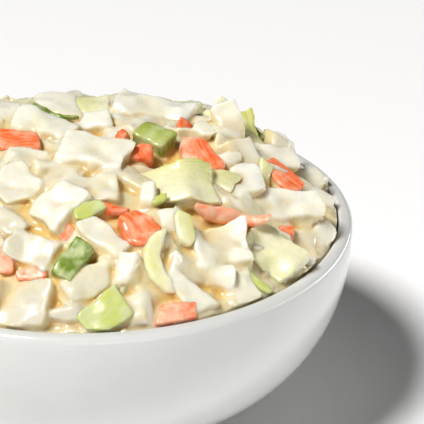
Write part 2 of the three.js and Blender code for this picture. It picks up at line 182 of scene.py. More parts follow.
HARD_CUTS = ("slab", "chip", "wedge")
SOFT_CUTS = ("slab", "chip", "wedge", "leaf", "cup", "rib", "fold")
ROUND_CUTS = ("cup", "disc")
SHEET_CUTS = ("leaf", "fold", "rib")
SOFT_KINDS = ("cabbage", "pale")
GOLDEN_ANGLE = math.pi * (3 - math.sqrt(5))
CORNERS = {
    "slab": ((-1, -0.9), (0.92, -1), (1, 0.85), (-0.88, 1)),
    "wedge": ((-1, -0.95), (0.75, -1), (1, 0.1), (-0.8, 1)),
    "chip": ((-1, -0.35), (-0.3, -1), (0.8, -0.8), (1, 0.3), (0.1, 1), (-0.8, 0.75)),
}
SHEET_CORNERS = ((-1, -1), (1, -1), (1, 1), (-1, 1))
CORNER_JITTER = 0.3
TOP_TAPER = 0.95
LEAF_BEND = 0.16
LEAF_WAVE = 0.05
CUP_DEPTH = 0.14
FOLD_DEPTH = 0.2
FOLD_SOFTNESS = 0.1
RIB_SWEEP = 0.22
SLAB_CUP = 0.035
SLAB_ROLL = 0.05
SLAB_TWIST = 0.03
BOWS_INWARD = 0.3
LEAF_LEVEL = 0.5  # each level keeps the mean of a bowed piece on its plane
CUP_LEVEL = 0.6
FOLD_LEVEL = 0.4
SLAB_LEVEL = 0.3

# ---- the pieces half hidden under those ----
UNDER_COUNT = 480
UNDER_REACH = 51
UNDER_STREAM = 1000  # their streams of chance start here, past those of the pieces above
UNDER_SPIRAL_TURN = 1
UNDER_SINK = (0.2, 2.6)
UNDER_TILT = 45
UNDER_CLEARANCE = 5.5
UNDER_NEAR_SINK = 1.9
# painted shade: the sunk pieces take a share of the painted side shade on their faces
UNDER_SIDE_SHARE = 0.35  # their faces take some of the tone of a cut side

# ---- distance field ----
VOXEL = 0.36
FIELD_BELOW_LIP = 9.5
FIELD_ABOVE_LIP = 27
CUT_BELOW_LIP = 8
FAR = 9.0
WHOLE = (slice(None),) * 3
LEAST_ISLAND = 60
FAMILY = {
    "cabbage": "cabbage",
    "pale": "pale_leaf",
    "carrot": "carrot",
    "coated": "carrot",
    "green": "green_pepper",
    "bright": "green_pepper",
}
# edge and plan rounding, bevel, doming, share of the warp, softness of a join, most triangles
FORM_FIELDS = "rounding plan_rounding bevel doming warping blend triangles".split()
FORM_ROWS = {
    "cabbage": (0.45, 0.9, 0.4, 0.5, 1, 0.8, 184000),
    "pale_leaf": (0.35, 0.7, 0.3, 0.35, 1, 1.2, 110000),
    "carrot": (0.45, 0.9, 0.15, 0.15, 0.7, 0.4, 80000),
    "green_pepper": (0.3, 0.5, 0.12, 0.1, 0.3, 0.3, 60000),
}
FORMS = {family: dict(zip(FORM_FIELDS, row)) for family, row in FORM_ROWS.items()}
WARP_MARGIN = 2.5
BEVEL_BIAS = 0.45
ROUNDING_OF_THICK = 0.35
ROUNDING_OF_WIDE = 0.25
# noise layers: size of the bumps, strength, seed
LUMPS = ((3.0, 1, 11), (1.3, 0.5, 12))
PATCHES = ((5.5, 1, 13), (2.2, 0.4, 14))
WARPS = ((9.0, 1.25, 20), (3.4, 0.72, 30))
LUMP_SIDE = 0.36
LUMP_FACE = 0.18
CORE_LUMPS = 1.0
DRESSING_REACH = 0.8
DRESSING_LEVEL = 0.61
DRESSING_PATCHES = 0.05
DRESSED_WITHIN = 0.15
DRESSED_BIAS = 0.3
SURFACE_SOFTNESS = 0.3
EXP_LIMIT = 20
BLUR_REACH = 2.5
PAINT_BLUR = 0.35
CAVITY_BLUR = 1.0
HOLLOW_BLUR = 2.6
RELAX_ROUNDS = 2
RELAX_STRENGTH = 0.5
CUT_FACE_WITHIN = 0.6
SKIRT_DROP = 3
SKIRT_FLOOR_GAP = 0.3
SKIRT_STEPS = 6
SIDE_DEPTH = 2.2
GREEN_LEAST = 0.6
GREEN_RANGE = 0.8
FADE_ACROSS = 0.7
FADE_ALONG = 0.3
STREAK_SHIFT = 40
# how green a kind is, how far that fades over a piece, and how much dressing films it
PAINTS = {
    "cabbage": (0.08, 0.1, 0),
    "pale": (0.34, 0.36, 0),
    "carrot": (0, 0, 0.2),
    "coated": (0, 0, 0.5),
    "green": (0.8, 0.15, 0.25),
    "bright": (0.35, 0.15, 0.4),
}
# what the looks read of each piece, and its value where no piece is
UNPAINTED = {"green": 0, "orange": 0, "coat": 0, "warm": 0.5, "side": 1, "run": 0, "grain": 0}

# -------- seeded chance --------
CHANCE_SPAN = 4294967296
CHANCE_SPREAD = 2654435761
CHANCE_STEP = 1664525
CHANCE_SHIFT = 1013904223


def chance_for(index):
    """The same small generator as in the solids, one stream for each piece."""
    state = ((index + 1) * CHANCE_SPREAD) % CHANCE_SPAN

    def chance():
        nonlocal state
        state = (state * CHANCE_STEP + CHANCE_SHIFT) % CHANCE_SPAN
        return state / CHANCE_SPAN

    return chance


# -------- layout of the heap --------
def heap_height(x, y):
    """Height of the heap's even surface: a dome that falls away sooner at the back."""
    share = np.minimum(np.hypot(x, y) / HEAP_RADIUS, 1)
    rise = HEAP_RISE - BACK_DROP * (np.maximum(y, 0) / HEAP_RADIUS) ** 2
    return LIP + rise * (1 - share**HEAP_ROUNDNESS)


def heap_slope(radius):
    """Degrees from level of the even surface at a radius."""
    share = min(radius / HEAP_RADIUS, 1)
    fall = HEAP_ROUNDNESS * HEAP_RISE * share ** (HEAP_ROUNDNESS - 1) / HEAP_RADIUS
    return math.degrees(math.atan(fall))


def kind_from(draw):
    if draw < CARROT_SHARE:
        return "carrot"
    if draw < CARROT_SHARE + GREEN_SHARE:
        return "green"
    if draw < CARROT_SHARE + GREEN_SHARE + PALE_SHARE:
        return "pale"
    return "cabbage"


def between(limits, share):
    return limits[0] + (limits[1] - limits[0]) * share


PIECE_FIELDS = "kind cut x y lift facing slope turn long wide thick".split()


def placed_pieces():
    return [dict(zip(PIECE_FIELDS, row), chance=chance_for(i)) for i, row in enumerate(PLACED)]


def fill_sink(radius, nearest):
    if radius > RIM_FROM:
        return FILL_SINK_CROWDED if nearest < RIM_CROWDED_WITHIN else RIM_SINK
    return FILL_SINK_CROWDED if nearest < FILL_CROWDED_WITHIN else FILL_SINK


def spot(radius, angle):
    return {"x": radius * math.cos(angle), "y": radius * math.sin(angle)}


def nearest_of(placed, piece):
    return min(math.hypot(a["x"] - piece["x"], a["y"] - piece["y"]) for a in placed)


def lay(piece, chance, facing, slope, tilt):
    """Draws which way a piece lies and how large it is."""
    piece["facing"] = math.degrees(facing) + tilt * 2 * (chance() - 0.5)
    piece["slope"] = slope + tilt * (chance() - 0.5)
    piece["turn"] = 360 * chance()
    for side, limits in FILL_SIZES[piece["kind"]].items():
        piece[side] = between(limits, chance())
    piece["chance"] = chance


def fill_piece(index, chance, placed):
    """One fill piece on a golden-angle spiral, or None where a placed piece already lies."""
    radius = FILL_REACH * ((index + 0.5) / FILL_COUNT) ** FILL_SPREAD
    angle = index * GOLDEN_ANGLE
    piece = spot(radius, angle)
    nearest = nearest_of(placed, piece)
    piece["kind"] = kind_from(chance())
    cuts = SOFT_CUTS if piece["kind"] in SOFT_KINDS else HARD_CUTS
    piece["cut"] = cuts[int(chance() * len(cuts))]
    piece["lift"] = FILL_LIFT * (chance() - 0.5) - fill_sink(radius, nearest)
    lay(piece, chance, angle, LIE_FLAT * heap_slope(radius), FILL_TILT)
    return None if nearest < FILL_CLEARANCE else piece


def under_piece(index, chance, placed):
    """One piece of the layer below, sunk under the surface and turned any way."""
    radius = UNDER_REACH * math.sqrt((index + 0.5) / UNDER_COUNT)
    angle = index * GOLDEN_ANGLE + UNDER_SPIRAL_TURN
    piece = spot(radius, angle)
    piece["kind"] = "pale" if chance() < PALE_SHARE else "cabbage"
    piece["cut"] = HARD_CUTS[int(chance() * len(HARD_CUTS))]
    piece["side_share"] = UNDER_SIDE_SHARE
    piece["lift"] = -between(UNDER_SINK, chance())
    if nearest_of(placed, piece) < UNDER_CLEARANCE:
        piece["lift"] -= UNDER_NEAR_SINK
    lay(piece, chance, angle, heap_slope(radius), UNDER_TILT)
    return piece


def heap_pieces():
    placed = placed_pieces()
    pieces = list(placed)
    for index in range(FILL_COUNT):
        piece = fill_piece(index, chance_for(len(placed) + index), placed)
        if piece:
            pieces.append(piece)
    for index in range(UNDER_COUNT):
        pieces.append(under_piece(index, chance_for(UNDER_STREAM + index), placed))
    return pieces


def piece_turn(piece):
    """Columns: along the piece, across it, and out of its face."""
    facing = math.radians(piece["facing"])
    spin = math.radians(piece["turn"]) - facing
    slope = math.radians(piece["slope"])
    swing = Matrix.Rotation(facing, 3, "Z")
    tip = Matrix.Rotation(slope, 3, "Y")
    return np.array(swing @ tip @ Matrix.Rotation(spin, 3, "Z"))


# -------- distance field --------
class Field:
    """Distances on a regular grid, one array for each kind of thing, and paint for its surface."""

    def __init__(self):
        reach = HEAP_RADIUS + LEAN_OUT + 2 * VOXEL
        self.x = np.arange(-reach, reach, VOXEL, dtype=np.float32)
        self.y = self.x.copy()
        self.z = np.arange(LIP - FIELD_BELOW_LIP, LIP + FIELD_ABOVE_LIP, VOXEL, dtype=np.float32)
        shape = (len(self.x), len(self.y), len(self.z))
        self.kinds = {family: np.full(shape, FAR, np.float32) for family in FORMS}
        self.nearest = np.full(shape, FAR, np.float32)
        self.paints = {name: np.full(shape, at, np.float32) for name, at in UNPAINTED.items()}
        self.lumps = layered_noise(self, LUMPS)
        self.patches = layered_noise(self, PATCHES)
        self.warp = [warp_noise(self, axis) for axis in range(3)]

    def block(self, centre, reach):
        """Slices of the grid that hold everything within reach of a point."""
        cut = []
        for axis, middle in zip((self.x, self.y, self.z), centre):
            low, high = np.searchsorted(axis, (middle - reach, middle + reach))
            cut.append(slice(low, high))
        return tuple(cut)

    def points(self, cut):
        """The cut's coordinates, one array for each axis, ready to be combined."""
        return (
            self.x[cut[0]][:, None, None],
            self.y[cut[1]][None, :, None],
            self.z[cut[2]][None, None, :],
        )


def smooth_step_weights(axis, size, count):
    """Rows that turn lattice values into smooth values along one axis."""
    where = (axis - axis[0]) / size
    cell = np.floor(where).astype(int)
    share = where - cell
    share = share * share * (3 - 2 * share)
    weights = np.zeros((len(axis), count), np.float32)
    rows = np.arange(len(axis))
    weights[rows, cell] = 1 - share
    weights[rows, cell + 1] = share
    return weights


def value_noise(field, size, seed):
    """Smooth noise in -1 to 1 over the whole grid, with bumps about `size` across."""
    draw = np.random.default_rng(seed)
    counts = [int((axis[-1] - axis[0]) / size) + 3 for axis in (field.x, field.y, field.z)]
    lattice = draw.uniform(-1, 1, counts).astype(np.float32)
    for axis, count in zip((field.x, field.y, field.z), counts):
        weights = smooth_step_weights(axis, size, count)
        lattice = np.tensordot(lattice, weights, axes=([0], [1]))
    return lattice


def layered_noise(field, layers):
    return sum(strength * value_noise(field, size, seed) for size, strength, seed in layers)


def warp_noise(field, axis):
    """How far one coordinate is bent aside, so that no cut edge stays ruler straight."""
    return layered_noise(field, [(size, reach, seed + axis) for size, reach, seed in WARPS])


def smooth_min(a, b, width):
    overlap = np.maximum(width - np.abs(a - b), 0) / width
    return np.minimum(a, b) - overlap * overlap * width * 0.25


def smooth_max(a, b, width):
    return -smooth_min(-a, -b, width)


def outline_distance(u, v, w, corners, leans, width):
    """Signed distance to a convex prism given counter-clockwise, each side with its own lean."""
    distance = None
    for (u0, v0), (u1, v1), lean in zip(corners, corners[1:] + corners[:1], leans):
        length = math.hypot(u1 - u0, v1 - v0)
        side = ((v1 - v0) * (u - u0) - (u1 - u0) * (v - v0)) / length
        side = (side + lean * w) / math.hypot(1, lean)
        distance = side if distance is None else smooth_max(distance, side, width)
    return distance


def piece_corners(piece):
    """Corners of the plan: none for a round cut, and four square ones for a sheet."""
    half_long = piece["long"] / 2
    half_wide = piece["wide"] / 2
    chance = piece["chance"]
    if piece["cut"] in ROUND_CUTS:
        return []
    if piece["cut"] in SHEET_CUTS:
        piece["phase"] = 2 * math.pi * chance()
        return [(a * half_long, b * half_wide) for a, b in SHEET_CORNERS]
    corners = []
    for along, across in CORNERS[piece["cut"]]:
        u = (along + CORNER_JITTER * (chance() - 0.5)) * half_long
        v = (across + CORNER_JITTER * (chance() - 0.5)) * half_wide
        corners.append((u * TOP_TAPER, v * TOP_TAPER))
    return corners


def piece_bow(piece, along, across):
    """How far the piece's middle surface stands off its flat plane."""
    chance = piece["chance"]
    if piece["cut"] == "leaf":
        bend = LEAF_BEND * piece["long"] * (along**2 - LEAF_LEVEL)
        wave = LEAF_WAVE * piece["long"] * across * np.sin(2 * along + piece["phase"])
        return bend + wave
    if piece["cut"] == "cup":
        return CUP_DEPTH * piece["long"] * (along**2 + across**2 - CUP_LEVEL)
    if piece["cut"] == "fold":
        crease = np.sqrt(along**2 + FOLD_SOFTNESS**2)
        return FOLD_DEPTH * piece["long"] * (FOLD_LEVEL - crease)
    cup = SLAB_CUP * piece["long"] * (chance() - BOWS_INWARD)
    roll = SLAB_ROLL * piece["wide"] * (chance() - BOWS_INWARD)
    twist = SLAB_TWIST * piece["long"] * (chance() - 0.5)
    bow = cup * (along**2 - SLAB_LEVEL) + roll * (across**2 - SLAB_LEVEL)
    return bow + twist * along * across


def ellipse_distance(u, v, long, wide):
    """Near enough the distance to an ellipse's outline."""
    share = np.sqrt((2 * u / long) ** 2 + (2 * v / wide) ** 2)
    return (share - 1) * min(long, wide) / 2


def piece_distance(field, piece, cut, u, v, w):
    """Distance to the piece's rounded, bevelled, bowed plate."""
    form = FORMS[FAMILY[piece["kind"]]]
    corners = piece_corners(piece)
    chance = piece["chance"]
    leans = [form["bevel"] * 2 * (chance() - BEVEL_BIAS) for _ in corners]
    doming = form["doming"] * chance()
    lumps = field.lumps[cut]
    along = 2 * u / piece["long"]
    if piece["cut"] == "rib":
        v = v + RIB_SWEEP * piece["long"] * (along**2 - 0.5)
    across = 2 * v / piece["wide"]
    middle = w + piece["thick"] / 2 - piece_bow(piece, along, across)
    if corners:
        side = outline_distance(u, v, middle, corners, leans, form["plan_rounding"])
    else:
        side = ellipse_distance(u, v, piece["long"], piece["wide"])
    thinning = doming * np.minimum(0.5 * (along**2 + across**2), 1)
    through = np.abs(middle) - piece["thick"] / 2 * (1 - thinning)
    most = min(piece["thick"] * ROUNDING_OF_THICK, piece["wide"] * ROUNDING_OF_WIDE)
    rounding = min(form["rounding"], most)
    a = side + rounding + LUMP_SIDE * lumps
    b = through + rounding + LUMP_FACE * lumps
    outside = np.sqrt(np.maximum(a, 0) ** 2 + np.maximum(b, 0) ** 2)
    return outside - rounding + np.minimum(np.maximum(a, b), 0)


def add_piece(field, piece):
    """Joins a piece to its kind's grid and paints the voxels that lie nearest to it."""
    family = FAMILY[piece["kind"]]
    form = FORMS[family]
    turn = piece_turn(piece)
    height = heap_height(piece["x"], piece["y"]) + piece["lift"]
    centre = np.array((piece["x"], piece["y"], height))
    reach = math.hypot(piece["long"], piece["wide"]) / 2 + piece["thick"] / 2 + WARP_MARGIN
    cut = field.block(centre - turn[:, 2] * piece["thick"] / 2, reach)
    x, y, z = [
        points - middle + form["warping"] * bend[cut]
        for points, middle, bend in zip(field.points(cut), centre, field.warp)
    ]
    u = turn[0, 0] * x + turn[1, 0] * y + turn[2, 0] * z
    v = turn[0, 1] * x + turn[1, 1] * y + turn[2, 1] * z
    w = turn[0, 2] * x + turn[1, 2] * y + turn[2, 2] * z
    distance = piece_distance(field, piece, cut, u, v, w)
    nearer = distance < field.nearest[cut]
    field.nearest[cut] = np.minimum(field.nearest[cut], distance)
    grid = field.kinds[family]
    grid[cut] = smooth_min(grid[cut], distance, form["blend"])
    paint_piece(field, piece, cut, nearer, (u, v, w))


def paint_piece(field, piece, cut, nearer, place):
    """What the looks need to know about the voxels that this piece owns."""
    u, v, w = place
    chance = piece["chance"]
    kind = piece["kind"]
    across = np.clip(2 * v / piece["wide"], -1, 1)
    along = np.clip(2 * u / piece["long"], -1, 1)
    lean = 1 if chance() > 0.5 else -1
    green, fade, coat = PAINTS[kind]
    green = green * (GREEN_LEAST + GREEN_RANGE * chance())
    own = {"green": green + fade * (FADE_ACROSS * across * lean + FADE_ALONG * along)}
    own["orange"] = 1 if FAMILY[kind] == "carrot" else 0
    own["coat"] = coat
    own["warm"] = chance()
    own["run"] = u + STREAK_SHIFT * chance()
    own["grain"] = v + STREAK_SHIFT * chance()
    own["side"] = np.clip(-w / SIDE_DEPTH + piece.get("side_share", 0), 0, 1)
    for name, value in own.items():
        field.paints[name][cut][nearer] = np.broadcast_to(value, nearer.shape)[nearer]


def hollow_radius(height):
    """Inner radius of the bowl at a height, in step with the porcelain."""
    start = LIP - LIP_INNER_ROUND
    drop = start - FLOOR_TOP
    power = 2 / WALL_ROUNDNESS
    fall = np.clip((start - height) / drop, 0, 1)
    angle = np.arcsin(fall ** (1 / power))
    return FLOOR_RADIUS + (HEAP_RADIUS - FLOOR_RADIUS) * np.cos(angle) ** power


def clip_to_bowl(field):
    """Keeps everything inside the hollow, off the lip and above the level of the cut."""
    x, y, z = field.points(WHOLE)
    radius = np.hypot(x, y)
    hollow = radius - (hollow_radius(z) - GAP)
    over = np.maximum(radius - (HEAP_RADIUS + LEAN_OUT), LIP + LIP_CLEARANCE - z)
    room = np.maximum(np.minimum(hollow, over), (LIP - CUT_BELOW_LIP) - z)
    for grid in field.kinds.values():
        np.maximum(grid, room, out=grid)


def core_distance(field):
    """Near enough the distance to the lumpy mass that the pieces sit in."""
    x, y, z = field.points(WHOLE)
    radius = np.hypot(x, y)
    slope = HEAP_ROUNDNESS * HEAP_RISE * np.minimum(radius / HEAP_RADIUS, 1) ** 2 / HEAP_RADIUS
    below = np.interp(radius, (CORE_RIM_FROM, HEAP_RADIUS), (CORE_BELOW, CORE_BELOW_RIM))
    above = z - (heap_height(x, y) - below)
    return above / np.sqrt(1 + slope**2) + CORE_LUMPS * field.lumps


def filled_share(distance):
    """About 1 inside and 0 outside, with a soft step at the surface."""
    return 1 / (1 + np.exp(np.clip(distance / SURFACE_SOFTNESS, -EXP_LIMIT, EXP_LIMIT)))


def add_dressing(field):
    """Dressing closes the narrow gaps and rounds the inner corners, and leaves the faces bare."""
    core = core_distance(field)
    everything = np.minimum.reduce([core, *field.kinds.values()])
    crowding = blurred(filled_share(everything).astype(np.float32), DRESSING_REACH)
    level = DRESSING_LEVEL + DRESSING_PATCHES * field.patches
    steepness = DRESSING_REACH * math.sqrt(2 * math.pi)
    dressing = np.minimum(core, steepness * (level - crowding))
    cabbage = field.kinds["cabbage"]
    dressed = (cabbage - dressing) / DRESSED_WITHIN + DRESSED_BIAS
    field.paints["dressed"] = np.clip(dressed, 0, 1)
    field.kinds["cabbage"] = np.minimum(cabbage, dressing).astype(np.float32)


def fill_heap():
    field = Field()
    for piece in heap_pieces():
        add_piece(field, piece)
    add_dressing(field)
    clip_to_bowl(field)
    return field


# -------- from field to mesh --------
def blurred(grid, sigma):
    """The grid softened by a bell of this width in millimetres."""
    reach = max(1, int(BLUR_REACH * sigma / VOXEL))
    steps = np.arange(-reach, reach + 1)
    weights = np.exp(-0.5 * (steps * VOXEL / sigma) ** 2)
    weights = weights / weights.sum()
    for axis in range(3):
        margins = [(0, 0)] * 3
        margins[axis] = (reach, reach)
        padded = np.pad(grid, margins, mode="edge")
        total = np.zeros_like(grid)
        for step, weight in zip(steps, weights):
            window = [slice(None)] * 3
            window[axis] = slice(reach + step, reach + step + grid.shape[axis])
            total += weight * padded[tuple(window)]
        grid = total
    return grid


def sampled(grid, place):
    """Trilinear sample of a grid at points in voxel units."""
    low = np.clip(np.floor(place).astype(int), 0, np.array(grid.shape) - 2)
    share = np.clip(place - low, 0, 1)
    total = np.zeros(len(place), np.float32)
    for corner in range(8):
        step = np.array([(corner >> axis) & 1 for axis in range(3)])
        weight = np.prod(np.where(step, share, 1 - share), axis=1)
        at = low + step
        total += weight * grid[at[:, 0], at[:, 1], at[:, 2]]
    return total


def surface_net(grid):
    """Vertices (in voxel units) and quads of the surface where the grid changes sign."""
    inside = grid < 0
    cells = np.array(grid.shape) - 1
    total = np.zeros((*cells, 3), np.float32)
    count = np.zeros(cells, np.float32)
    crossings = []
    for axis in range(3):
        at = np.argwhere(np.diff(inside, axis=axis))
        value_a = grid[tuple(at.T)]
        value_b = grid[tuple((at + np.eye(3, dtype=int)[axis]).T)]
        point = at.astype(np.float32)
        point[:, axis] += value_a / (value_a - value_b)
        others = [other for other in range(3) if other != axis]
        inner = np.all((at[:, others] > 0) & (at[:, others] < cells[others]), axis=1)
        at, point, value_a = at[inner], point[inner], value_a[inner]
        corners = []
        for da, db in ((0, 0), (1, 0), (1, 1), (0, 1)):
            cell = at.copy()
            cell[:, others[0]] -= da
            cell[:, others[1]] -= db
            np.add.at(total, tuple(cell.T), point)
            np.add.at(count, tuple(cell.T), 1)
            corners.append(cell)
        crossings.append((axis, corners, value_a < 0))
    used = count > 0
    number = np.full(cells, -1, np.int64)
    number[used] = np.arange(used.sum())
    vertices = total[used] / count[used][:, None]
    quads = []
    for axis, corners, facing in crossings:
        quad = np.stack([number[tuple(cell.T)] for cell in corners], axis=1)
        flip = facing if axis != 1 else ~facing
        quad[flip] = quad[flip][:, ::-1]
        quads.append(quad)
    return vertices, np.concatenate(quads)


def relaxed(vertices, quads, rounds, strength):
    """Vertices moved towards the mean of their neighbours."""
    a = quads.T.ravel()
    b = np.roll(quads, -1, axis=1).T.ravel()
    degree = np.bincount(a, minlength=len(vertices)) + np.bincount(b, minlength=len(vertices))
    for _ in range(rounds):
        mean = np.zeros_like(vertices)
        for axis in range(vertices.shape[1]):
            total = np.bincount(a, vertices[b, axis], len(vertices))
            total += np.bincount(b, vertices[a, axis], len(vertices))
            mean[:, axis] = total / degree
        vertices = vertices + strength * (mean - vertices)
    return vertices


def linked(name, data):
    """A new object in the scene that holds this data."""
    thing = bpy.data.objects.new(name, data)
    bpy.context.scene.collection.objects.link(thing)
    return thing


def shade_smooth(data):
    data.polygons.foreach_set("use_smooth", np.ones(len(data.polygons), bool))


def mesh_object(name, vertices, quads, material):
    data = bpy.data.meshes.new(name)
    data.vertices.add(len(vertices))
    data.vertices.foreach_set("co", vertices.astype(np.float32).ravel())
    data.loops.add(quads.size)
    data.loops.foreach_set("vertex_index", quads.astype(np.int32).ravel())
    data.polygons.add(len(quads))
    data.polygons.foreach_set("loop_start", np.arange(0, quads.size, 4, dtype=np.int32))
    data.materials.append(material)
    data.update(calc_edges=True)
    return linked(name, data)


def thin_out(piece, most):
    """Collapses the flattest places until the piece has at most this many triangles."""
    triangles = 2 * len(piece.data.polygons)
    if triangles > most:
        thinner = piece.modifiers.new("thinner", "DECIMATE")
        thinner.ratio = most / triangles
        graph = bpy.context.evaluated_depsgraph_get()
        thinned = bpy.data.meshes.new_from_object(piece.evaluated_get(graph))
        piece.modifiers.clear()
        piece.data = thinned
    shade_smooth(piece.data)


def grid_origin(field):
    return np.array((field.x[0], field.y[0], field.z[0]))


def paint(piece, field, paints):
    """Stores what the looks read at each vertex, sampled from the grids."""
    at = np.empty(len(piece.data.vertices) * 3, np.float32)
    piece.data.vertices.foreach_get("co", at)
    place = (at.reshape(-1, 3) / MM - grid_origin(field)) / VOXEL
    for name, grid in paints.items():
        attribute_data = piece.data.attributes.new(name, "FLOAT", "POINT")
        attribute_data.data.foreach_set("value", sampled(grid, place))


def kind_mesh(field, family, material):
    """The skin of one kind of thing, relaxed, without its scraps and thinned out."""
    vertices, quads = surface_net(field.kinds[family])
    place = relaxed(vertices, quads, RELAX_ROUNDS, RELAX_STRENGTH)
    points = (grid_origin(field) + place * VOXEL) * MM
    piece = mesh_object("slaw_" + family, points, quads, material)
    drop_scraps(piece, LEAST_ISLAND)
    thin_out(piece, FORMS[family]["triangles"])
    return piece


def drop_scraps(piece, least):
    """Removes separate islands with fewer vertices than `least`."""
    work = bmesh.new()
    work.from_mesh(piece.data)
    work.verts.ensure_lookup_table()
    seen = np.zeros(len(work.verts), bool)
    doomed = []
    for start in work.verts:
        if seen[start.index]:
            continue
        island = [start]
        seen[start.index] = True
        for vertex in island:
            for edge in vertex.link_edges:
                other = edge.other_vert(vertex)
                if not seen[other.index]:
                    seen[other.index] = True
                    island.append(other)
        if len(island) < least:
            doomed.extend(island)
    bmesh.ops.delete(work, geom=doomed, context="VERTS")
    work.to_mesh(piece.data)
    work.free()


def ring_below(work, rim, height):
    """Joins a ring of new vertices at a height, against the hollow's wall, to the rim above."""
    radius = (float(hollow_radius(height)) - GAP) * MM
    below = {}
    for vertex in [vertex for pair in rim for vertex in pair[:2]]:
        if vertex not in below:
            share = radius / math.hypot(vertex.co.x, vertex.co.y)
            place = (vertex.co.x * share, vertex.co.y * share, height * MM)
            below[vertex] = work.verts.new(place, vertex)
    for first, second, face in rim:
        work.faces.new((first, second, below[second], below[first]), face)
    return [(below[first], below[second], face) for first, second, face in rim]


def close_below(piece):
    """Opens the flat cut under the lip and carries the slaw down to the bowl's floor.

    The rings are made by hand, because Blender's own extrusion orders its faces by memory address
    and so differently on each run.
    """
    level = (LIP - CUT_BELOW_LIP + CUT_FACE_WITHIN * VOXEL) * MM
    work = bmesh.new()
    work.from_mesh(piece.data)
    doomed = [face for face in work.faces if all(v.co.z < level for v in face.verts)]
    bmesh.ops.delete(work, geom=doomed, context="FACES")
    loops = [edge.link_loops[0] for edge in work.edges if edge.is_boundary]
    rim = [(loop.link_loop_next.vert, loop.vert, loop.face) for loop in loops]
    top = LIP - CUT_BELOW_LIP - SKIRT_DROP
    for height in np.linspace(top, FLOOR_TOP + GAP + SKIRT_FLOOR_GAP, SKIRT_STEPS):
        rim = ring_below(work, rim, height)
    edges = [edge for edge in work.edges if edge.is_boundary]
    bmesh.ops.holes_fill(work, edges=edges, sides=0)
    work.to_mesh(piece.data)
    work.free()


# -------- bowl --------
def quarter_wall(foot, top, drop, start):
    """A wall from its start below the lip down to its foot: a quarter of a superellipse."""
    angles = np.linspace(0, math.pi / 2, BOWL_WALL_STEPS + 1)
    power = 2 / WALL_ROUNDNESS
    radii = foot + (top - foot) * np.cos(angles) ** power
    return [(r, start - drop * math.sin(a) ** power) for r, a in zip(radii, angles)]


def quarter_round(centre_r, centre_z, radius, first, last):
    """Points of an arc between two angles in degrees."""
    angles = np.radians(np.linspace(first, last, BOWL_ROUND_STEPS + 1))
    return [(centre_r + radius * math.cos(a), centre_z + radius * math.sin(a)) for a in angles]


def bowl_profile():
    """Radius and height from the middle of the recess round to the middle of the floor."""
    wall_start = LIP - LIP_OUTER_ROUND
    outer = quarter_wall(WALL_FOOT_RADIUS, BOWL_RADIUS, wall_start - FOOT_HEIGHT, wall_start)
    outer = [point for point in outer if point[0] > FOOT_RADIUS + FOOT_EDGE_ROUND][::-1]
    inner_start = LIP - LIP_INNER_ROUND
    inner = quarter_wall(FLOOR_RADIUS, HEAP_RADIUS, inner_start - FLOOR_TOP, inner_start)
    edge = FOOT_EDGE_ROUND
    underside = [
        (0, RECESS_HEIGHT),
        (FOOT_INNER_RADIUS - 2 * edge, RECESS_HEIGHT),
        *quarter_round(FOOT_INNER_RADIUS - edge, RECESS_HEIGHT - edge, edge, 90, 0),
        *quarter_round(FOOT_INNER_RADIUS + edge, edge, edge, 180, 270),
        *quarter_round(FOOT_RADIUS - 2 * edge, edge, edge, 270, 350),
        (FOOT_RADIUS - 0.5 * edge, 0.5 * FOOT_HEIGHT),
        (FOOT_RADIUS, FOOT_HEIGHT - 0.4 * edge),
    ]
    lip = quarter_round(BOWL_RADIUS - LIP_OUTER_ROUND, wall_start, LIP_OUTER_ROUND, 0, 90)[1:]
    lip += quarter_round(HEAP_RADIUS + LIP_INNER_ROUND, inner_start, LIP_INNER_ROUND, 90, 180)
    return underside + outer + lip + inner[1:-1] + [(0, FLOOR_TOP)]


def make_bowl():
    profile = bowl_profile()
    ring = profile[1:-1]
    angles = np.arange(BOWL_AROUND) * 2 * math.pi / BOWL_AROUND
    vertices = [(r * math.cos(a), r * math.sin(a), z) for r, z in ring for a in angles]
    vertices += [(0, 0, profile[0][1]), (0, 0, profile[-1][1])]
    low, high = len(vertices) - 2, len(vertices) - 1
    faces = []
    for level in range(len(ring) - 1):
        for step in range(BOWL_AROUND):
            a = level * BOWL_AROUND + step
            b = level * BOWL_AROUND + (step + 1) % BOWL_AROUND
            faces.append((a, b, b + BOWL_AROUND, a + BOWL_AROUND))
    last = (len(ring) - 1) * BOWL_AROUND
    for step in range(BOWL_AROUND):
        after = (step + 1) % BOWL_AROUND
        faces.append((after, step, low))
        faces.append((last + step, last + after, high))
    data = bpy.data.meshes.new("porcelain_bowl")
    data.from_pydata((np.array(vertices) * MM).tolist(), [], faces)
    shade_smooth(data)
    data.materials.append(porcelain())
    return linked("porcelain_bowl", data)


# -------- materials --------
# tones are linear colours; a pair holds the two ends that a look mixes between
GLAZE = ((0.615, 0.62, 0.605), (0.635, 0.64, 0.625))
# painted light and shade: the cabbage's tone, painted darker low on the left and lighter on the
# tops and to the right
CABBAGE_SHADED_LOW = ((0.63, 0.585, 0.45), (0.64, 0.605, 0.505))
CABBAGE_LIT_HIGH = ((0.815, 0.79, 0.67), (0.825, 0.81, 0.73))
# painted shade: the warmer, darker tone down the sides of the cabbage pieces
CABBAGE_SIDE_SHADE = ((0.69, 0.585, 0.33), (0.71, 0.62, 0.40))
# painted shade: the darker warm tone of the cabbage in broad hollows
CABBAGE_VALLEY_SHADE = (0.71, 0.61, 0.39)
CABBAGE_GREEN = (0.70, 0.70, 0.44)
CABBAGE_CREAM = (0.73, 0.69, 0.47)
